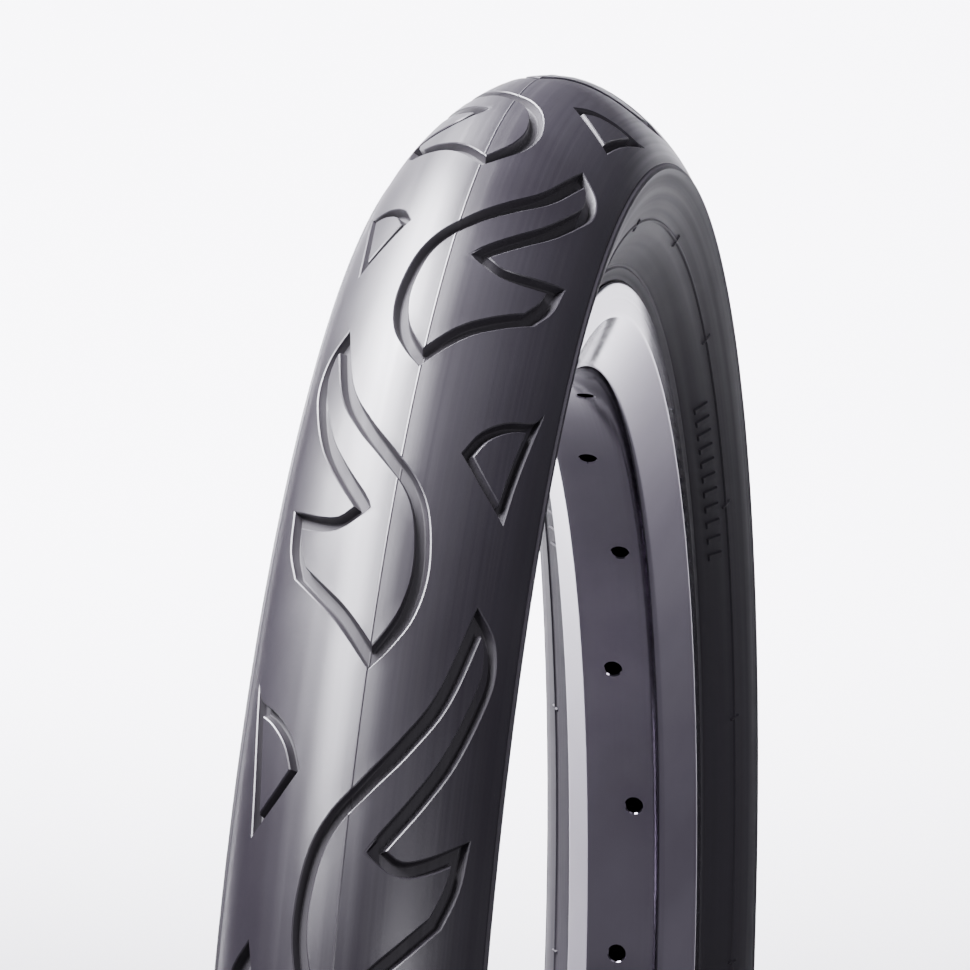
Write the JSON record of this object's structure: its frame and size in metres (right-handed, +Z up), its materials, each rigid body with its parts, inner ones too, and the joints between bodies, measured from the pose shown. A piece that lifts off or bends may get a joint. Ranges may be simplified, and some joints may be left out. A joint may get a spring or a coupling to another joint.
{
  "type": "bicycle tire",
  "caption": "Wide bicycle tyre with a grooved slick tread, fitted with its casing layers, bead wires, inner tube, sprung valve and screw cap on a polished hollow rim.",
  "frame": {"origin": "centre of the wheel, on the axle's line, midway between the two sidewalls", "axes": "+Y along the axle towards the left sidewall, +Z up, +X completes the right-handed frame; the valve stands on the Z axis below the centre"},
  "size_m": [0.514, 0.057, 0.514],
  "materials": {
    "tread_rubber": "satin moulded rubber",
    "sidewall_rubber": "satin moulded rubber",
    "breaker_cloth": "rubberised weave",
    "ply_nylon": "rubberised cord weave",
    "chafer_cloth": "rubberised square weave",
    "bead_steel": "brass coated wire",
    "tube_rubber": "matt butyl",
    "rim_aluminium": "polished",
    "sleeve_aluminium": "mill",
    "strip_rubber": "matt",
    "valve_brass": "turned",
    "spring_steel": "drawn wire",
    "seal_rubber": "matt",
    "cap_plastic": "moulded"
  },
  "bodies": {
    "root": {"tread": "tread_rubber", "sidewall_left": "sidewall_rubber", "sidewall_right": "sidewall_rubber", "breaker_strip": "breaker_cloth", "casing_ply_outer": "ply_nylon", "casing_ply_inner": "ply_nylon", "bead_wire_left": "bead_steel", "bead_wire_right": "bead_steel", "chafer_left": "chafer_cloth", "chafer_right": "chafer_cloth", "inner_tube": "tube_rubber", "rim": "rim_aluminium", "joint_sleeve": "sleeve_aluminium", "rim_strip": "strip_rubber", "valve_stem": "tube_rubber", "valve_barrel": "valve_brass", "core_plug": "valve_brass", "core_gasket": "seal_rubber", "core_spring": "spring_steel"},
    "core_pin": {"core_pin": "valve_brass", "core_seal": "seal_rubber"},
    "cap_liner": {"cap_seal": "seal_rubber"},
    "cap": {"valve_cap": "cap_plastic"}
  },
  "joints": [
    {"name": "core_pin_press", "type": "slide", "parent": "root", "child": "core_pin", "axis": [0, 0, -1], "range_m": [0, 0.0015], "stiffness_N_per_m": 400, "springref_m": -0.002, "deforming": ["core_spring"]},
    {"name": "cap_lift", "type": "slide", "parent": "root", "child": "cap_liner", "axis": [0, 0, 1], "range_m": [0, 0.0079]},
    {"name": "cap_turn", "type": "hinge", "parent": "cap_liner", "child": "cap", "pos_m": [0, 0, -0.168], "axis": [0, 0, 1], "range_deg": [0, 3600]}
  ],
  "couplings": [
    {"joint": "cap_turn", "follows": "cap_lift", "rad_per_m": 7913.3}
  ]
}
